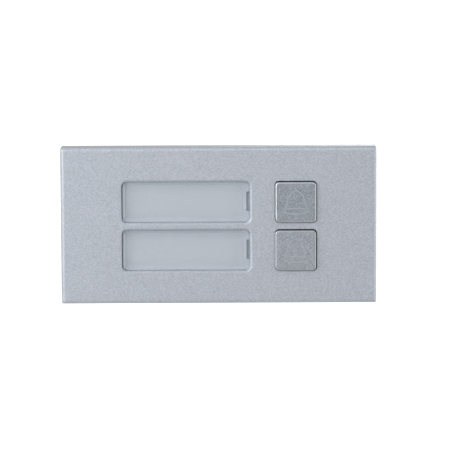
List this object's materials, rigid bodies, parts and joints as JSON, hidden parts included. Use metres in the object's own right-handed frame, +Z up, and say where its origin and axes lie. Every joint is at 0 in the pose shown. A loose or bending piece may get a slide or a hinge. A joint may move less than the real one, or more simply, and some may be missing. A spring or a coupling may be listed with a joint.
{
  "type": "door intercom call button module",
  "caption": "Flush metal door intercom module with lit name windows under hinged clear covers and square sprung call buttons, on a shallow rear housing.",
  "frame": {"origin": "centre of the plane of the faceplate's rear rim, which rests on the mounting frame", "axes": "+X to the right as seen from the front, along the panel's length; +Y into the wall, so the front faces -Y; +Z up"},
  "size_m": [0.115, 0.0236, 0.0574],
  "materials": {
    "faceplate_paint": "silver-grey metallic powder coat, fine sand texture",
    "frame_plastic": "light grey moulded plastic",
    "cover_acrylic": "clear acrylic, lightly frosted",
    "card_paper": "blank white card",
    "guide_acrylic": "milky acrylic",
    "cap_metal": "bead-blasted face with a polished bevel",
    "carrier_plastic": "black moulded acetal",
    "boot_silicone": "grey silicone",
    "switch_plastic": "black switch housing",
    "plunger_plastic": "ivory moulded plastic",
    "board_laminate": "green solder mask",
    "led_resin": "yellow phosphor in clear resin",
    "chip_resin": "black moulding compound",
    "can_sleeve": "blue shrink sleeve",
    "socket_nylon": "natural nylon",
    "pin_gold": "gold-flashed brass",
    "seal_rubber": "black cellular rubber",
    "housing_plastic": "black ABS, fine spark texture",
    "insert_brass": "turned brass",
    "rating_foil": "blank silver polyester foil",
    "screw_steel": "zinc-plated steel"
  },
  "bodies": {
    "module": {"faceplate": "faceplate_paint", "inner_frame": "frame_plastic", "name_card_upper": "card_paper", "name_card_lower": "card_paper", "light_guide_upper": "guide_acrylic", "light_guide_lower": "guide_acrylic", "return_boot_upper": "boot_silicone", "return_boot_lower": "boot_silicone", "switch_body_upper": "switch_plastic", "switch_body_lower": "switch_plastic", "circuit_board": "board_laminate", "backlight_leds": "led_resin", "controller_chip": "chip_resin", "bus_chip": "chip_resin", "power_parts": "can_sleeve", "bus_in_socket": "socket_nylon", "bus_out_socket": "socket_nylon", "socket_pins": "pin_gold", "housing_seal": "seal_rubber", "rear_housing": "housing_plastic", "threaded_inserts": "insert_brass", "rating_plate": "rating_foil", "frame_screws": "screw_steel", "board_screws": "screw_steel", "housing_screws": "screw_steel"},
    "cover_upper": {"label_cover_upper": "cover_acrylic"},
    "cover_lower": {"label_cover_lower": "cover_acrylic"},
    "button_upper": {"button_cap_upper": "cap_metal", "button_carrier_upper": "carrier_plastic", "switch_plunger_upper": "plunger_plastic"},
    "button_lower": {"button_cap_lower": "cap_metal", "button_carrier_lower": "carrier_plastic", "switch_plunger_lower": "plunger_plastic"}
  },
  "joints": [
    {"name": "cover_upper_hinge", "type": "hinge", "parent": "module", "child": "cover_upper", "pos_m": [-0.03465, -0.0063, 0.0085], "axis": [0, 0, -1], "range_deg": [0, 20]},
    {"name": "cover_lower_hinge", "type": "hinge", "parent": "module", "child": "cover_lower", "pos_m": [-0.03465, -0.0063, -0.00915], "axis": [0, 0, -1], "range_deg": [0, 20]},
    {"name": "button_upper_press", "type": "slide", "parent": "module", "child": "button_upper", "axis": [0, 1, 0], "range_m": [0, 0.0008], "stiffness_N_per_m": 2500, "springref_m": -0.0004, "deforming": ["return_boot_upper"]},
    {"name": "button_lower_press", "type": "slide", "parent": "module", "child": "button_lower", "axis": [0, 1, 0], "range_m": [0, 0.0008], "stiffness_N_per_m": 2500, "springref_m": -0.0004, "deforming": ["return_boot_lower"]}
  ]
}
